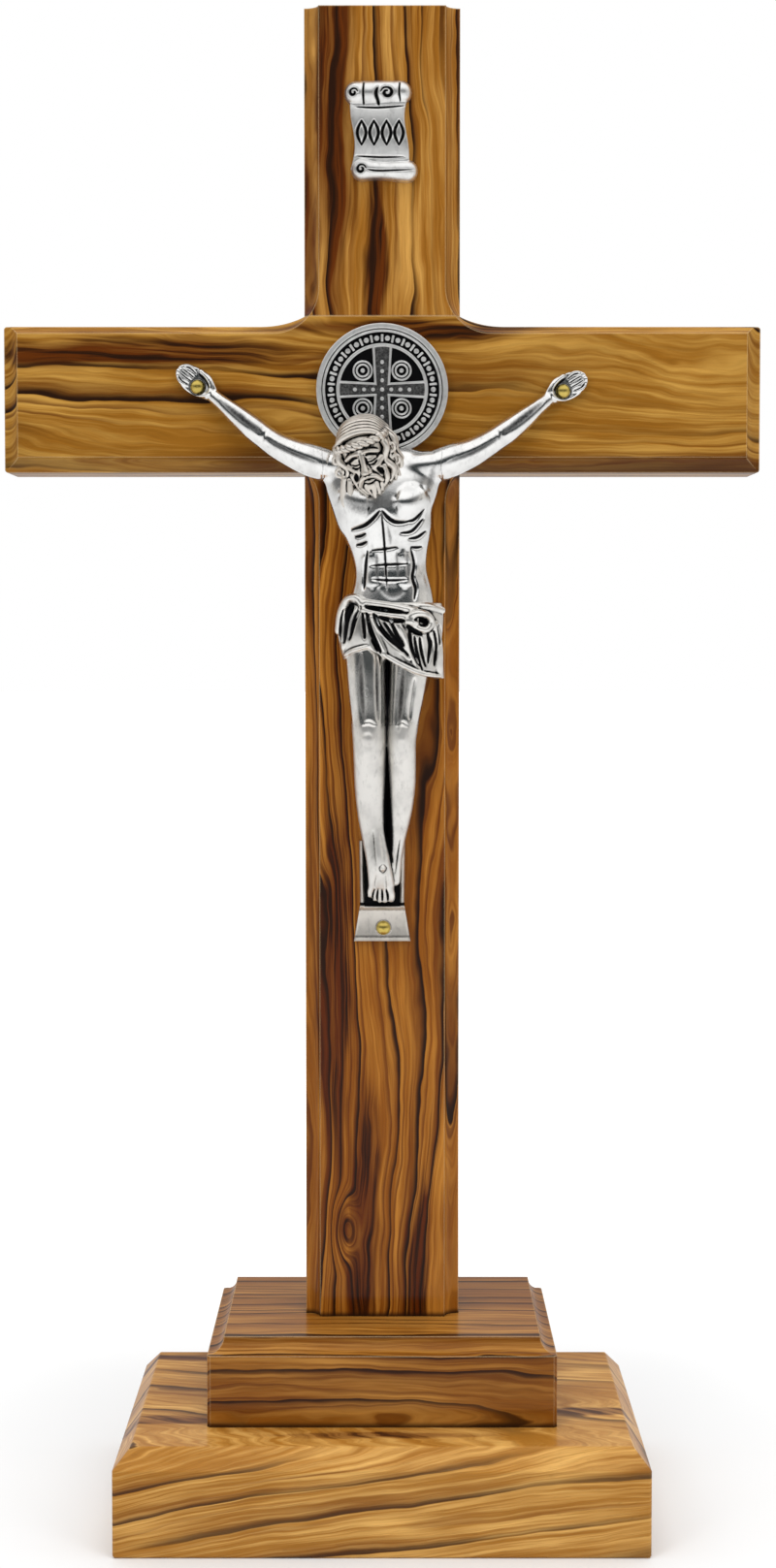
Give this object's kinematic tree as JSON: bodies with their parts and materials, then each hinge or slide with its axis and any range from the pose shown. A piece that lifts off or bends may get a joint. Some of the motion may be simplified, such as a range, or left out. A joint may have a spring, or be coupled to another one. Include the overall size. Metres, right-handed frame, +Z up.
{
  "type": "altar cross",
  "caption": "Free-standing olive-wood altar cross on a stepped base, with a cast metal figure, a round medal and a small scroll plate nailed or glued to its front.",
  "frame": {"origin": "middle of the lower tier's footprint, on the surface the cross stands on", "axes": "+Z up along the post; the front of the cross faces -Y; +X to the right seen from the front"},
  "size_m": [0.1258, 0.062, 0.25],
  "materials": {
    "lower_tier_wood": "varnished olive wood, pale with swirling veins",
    "upper_tier_wood": "varnished olive wood, brown with level veins",
    "lower_post_wood": "varnished olive wood, orange-brown with dark upright veins",
    "crossbar_wood": "varnished olive wood, golden with dark level bands",
    "upper_post_wood": "varnished olive wood, with dark upright streaks",
    "dowel_wood": "plain dry beech",
    "screw_steel": "zinc-plated steel",
    "silver_plate": "bright silver plate on cast zinc, with blackened recesses",
    "medal_pewter": "dark antiqued pewter, ridges rubbed bright",
    "scroll_silver": "soft silver plate with blackened recesses",
    "pin_brass": "brass, lightly aged"
  },
  "bodies": {
    "root": {"lower_tier": "lower_tier_wood", "upper_tier": "upper_tier_wood", "lower_post": "lower_post_wood", "crossbar": "crossbar_wood", "upper_post": "upper_post_wood", "lower_dowels": "dowel_wood", "upper_dowels": "dowel_wood", "post_screw": "screw_steel", "tier_screws": "screw_steel", "medal": "medal_pewter", "scroll": "scroll_silver", "left_hand_nail": "pin_brass", "right_hand_nail": "pin_brass", "foot_nail": "pin_brass", "corpus": "silver_plate", "left_arm": "silver_plate", "right_arm": "silver_plate"}
  },
  "joints": []
}
